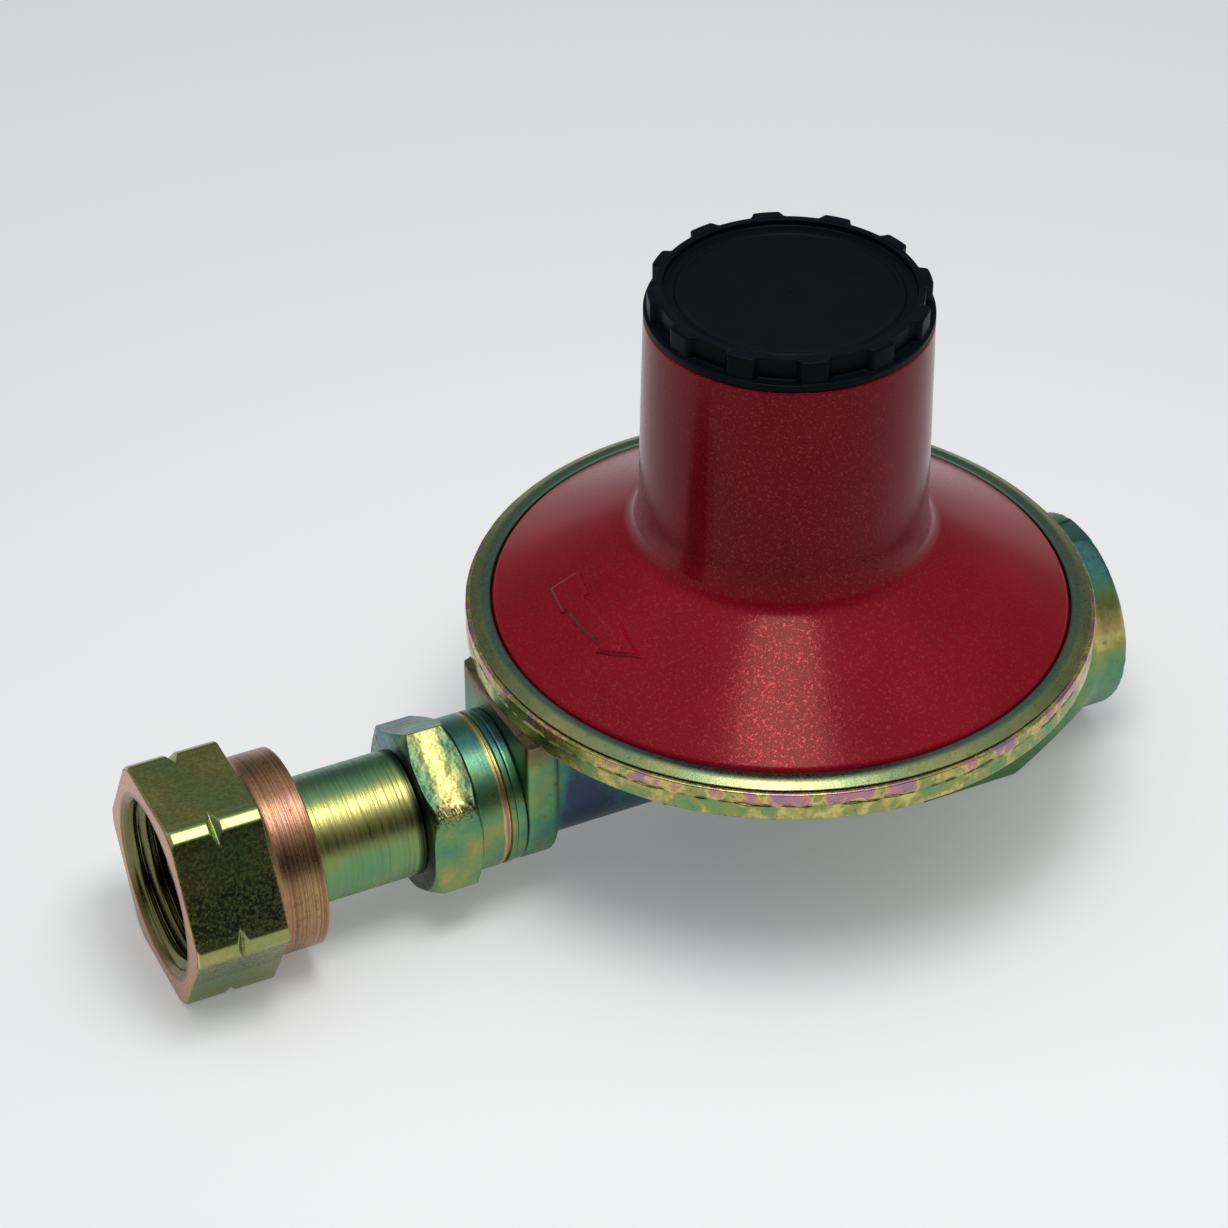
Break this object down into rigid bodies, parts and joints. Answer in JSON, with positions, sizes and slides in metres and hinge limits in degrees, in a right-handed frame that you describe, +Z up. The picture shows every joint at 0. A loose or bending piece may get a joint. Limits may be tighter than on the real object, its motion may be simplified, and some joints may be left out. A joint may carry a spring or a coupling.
{
  "type": "lpg regulator",
  "caption": "Gas pressure regulator: red cone bonnet with black screw cap, die-cast body, and a left-hand union nut on its inlet tube.",
  "frame": {"origin": "centre of the round foot on the resting plane, straight under the spring tower's axis", "axes": "+Z up the spring tower, +X along the gas flow from the inlet nut to the outlet boss"},
  "size_m": [0.121, 0.0738, 0.0706],
  "materials": {
    "red_paint": "red paint over die-cast metal, fine speckle",
    "cast_plating": "die-cast metal, yellow-green iridescent passivation",
    "yellow_plating": "turned steel, yellow zinc with green and pink iridescence",
    "black_plastic": "moulded black plastic",
    "black_rubber": "moulded rubber",
    "brass": "turned brass",
    "bright_steel": "bright zinc-plated steel",
    "spring_steel": "drawn spring wire",
    "copper": "soft copper washer",
    "sintered_bronze": "porous sintered bronze"
  },
  "bodies": {
    "housing": {"body": "cast_plating", "bonnet": "red_paint", "diaphragm": "black_rubber", "main_spring": "spring_steel", "lever_pin": "spring_steel", "valve_guide": "brass", "nozzle": "brass", "nozzle_seal": "copper", "inlet_adapter": "yellow_plating", "adapter_seal": "yellow_plating", "tail_tube": "yellow_plating", "inlet_filter": "sintered_bronze", "nose_gasket": "black_rubber"},
    "cap_ring": {"cap_seal": "black_rubber"},
    "cap_body": {"cap": "black_plastic"},
    "seat_body": {"spring_seat": "bright_steel"},
    "screw_body": {"adjusting_screw": "brass"},
    "stem_body": {"diaphragm_stem": "brass", "relief_retainer": "bright_steel", "relief_nut": "brass"},
    "plates_body": {"upper_diaphragm_plate": "bright_steel", "lower_diaphragm_plate": "bright_steel", "relief_spring": "spring_steel"},
    "lever_body": {"lever": "bright_steel"},
    "valve_body": {"valve_holder": "brass", "valve_pad": "black_rubber"},
    "washer_body": {"slip_washer": "bright_steel"},
    "nut_body": {"union_nut": "yellow_plating"}
  },
  "joints": [
    {"name": "cap_lift", "type": "slide", "parent": "housing", "child": "cap_ring", "axis": [0, 0, 1], "range_m": [0, 0.004]},
    {"name": "cap_turn", "type": "hinge", "parent": "cap_ring", "child": "cap_body", "pos_m": [0, 0, 0.067], "axis": [0, 0, 1], "range_deg": [0, 1440]},
    {"name": "spring_seat_travel", "type": "slide", "parent": "housing", "child": "seat_body", "axis": [0, 0, -1], "range_m": [-0.002, 0.006], "deforming": ["main_spring"]},
    {"name": "adjusting_screw_turn", "type": "hinge", "parent": "seat_body", "child": "screw_body", "pos_m": [0, 0, 0.0572], "axis": [0, 0, -1], "range_deg": [-720, 2160]},
    {"name": "diaphragm_lift", "type": "slide", "parent": "housing", "child": "stem_body", "axis": [0, 0, 1], "range_m": [0, 0.0024], "stiffness_N_per_m": 2000, "springref_m": -0.001, "deforming": ["diaphragm"]},
    {"name": "relief_lift", "type": "slide", "parent": "stem_body", "child": "plates_body", "axis": [0, 0, 1], "range_m": [0, 0.001], "stiffness_N_per_m": 2000, "springref_m": -0.001, "deforming": ["relief_spring"]},
    {"name": "lever_rock", "type": "hinge", "parent": "housing", "child": "lever_body", "pos_m": [-0.013, 0, 0.0089], "axis": [0, -1, 0], "range_deg": [0, 11.37]},
    {"name": "valve_travel", "type": "slide", "parent": "housing", "child": "valve_body", "axis": [-1, 0, 0], "range_m": [0, 0.0007101]},
    {"name": "nut_slide", "type": "slide", "parent": "housing", "child": "washer_body", "axis": [1, 0, 0], "range_m": [0, 0.012]},
    {"name": "nut_spin", "type": "hinge", "parent": "washer_body", "child": "nut_body", "pos_m": [-0.07, 0, 0.0125], "axis": [-1, 0, 0], "continuous": true}
  ],
  "couplings": [
    {"joint": "cap_lift", "follows": "cap_turn", "m_per_rad": 0.00015915},
    {"joint": "spring_seat_travel", "follows": "adjusting_screw_turn", "m_per_rad": 0.00015915},
    {"joint": "lever_rock", "follows": "diaphragm_lift", "rad_per_m": 82.708},
    {"joint": "valve_travel", "follows": "diaphragm_lift", "ratio": 0.29583}
  ]
}
